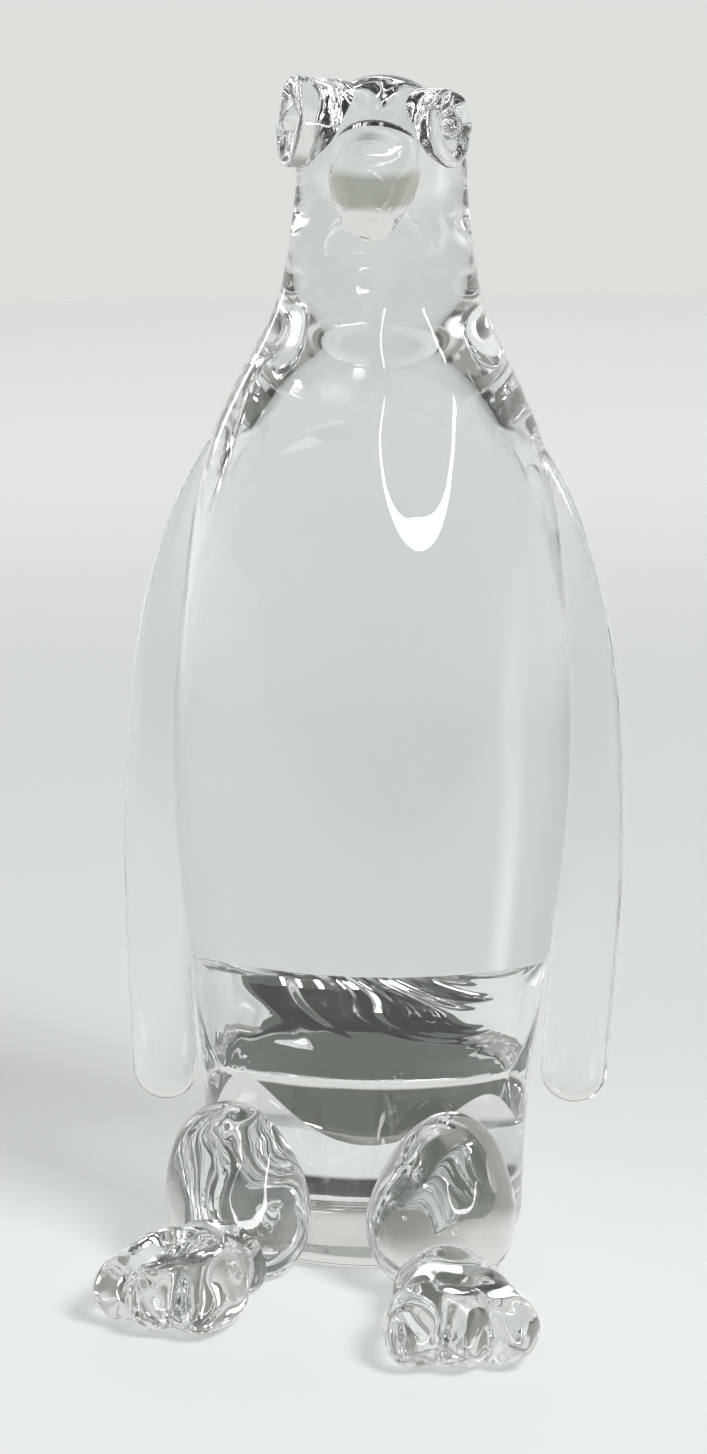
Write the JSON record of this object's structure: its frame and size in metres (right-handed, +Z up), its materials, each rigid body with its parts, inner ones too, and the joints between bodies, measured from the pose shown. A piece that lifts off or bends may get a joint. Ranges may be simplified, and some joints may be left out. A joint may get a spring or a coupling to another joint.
{
  "type": "penguin figurine",
  "caption": "Standing penguin figurine in solid clear glass: a turned body and head with beak, eyes, flippers, legs, toe pads and tail fused on. Stands free on a flat base.",
  "frame": {"origin": "middle of the flat base, on the surface that the figurine stands on", "axes": "+Z up along the body; the figure faces -Y, and its own left side is +X"},
  "size_m": [0.065, 0.0886, 0.1501],
  "materials": {
    "gather_glass": "fire polished, clear",
    "bit_glass": "fire polished, clear, with faint tool marks"
  },
  "bodies": {
    "root": {"body": "gather_glass", "head": "gather_glass", "beak": "bit_glass", "left_eye": "bit_glass", "right_eye": "bit_glass", "left_pupil": "bit_glass", "right_pupil": "bit_glass", "left_flipper": "bit_glass", "right_flipper": "bit_glass", "left_leg": "bit_glass", "right_leg": "bit_glass", "left_foot": "bit_glass", "right_foot": "bit_glass", "tail": "bit_glass"}
  },
  "joints": []
}
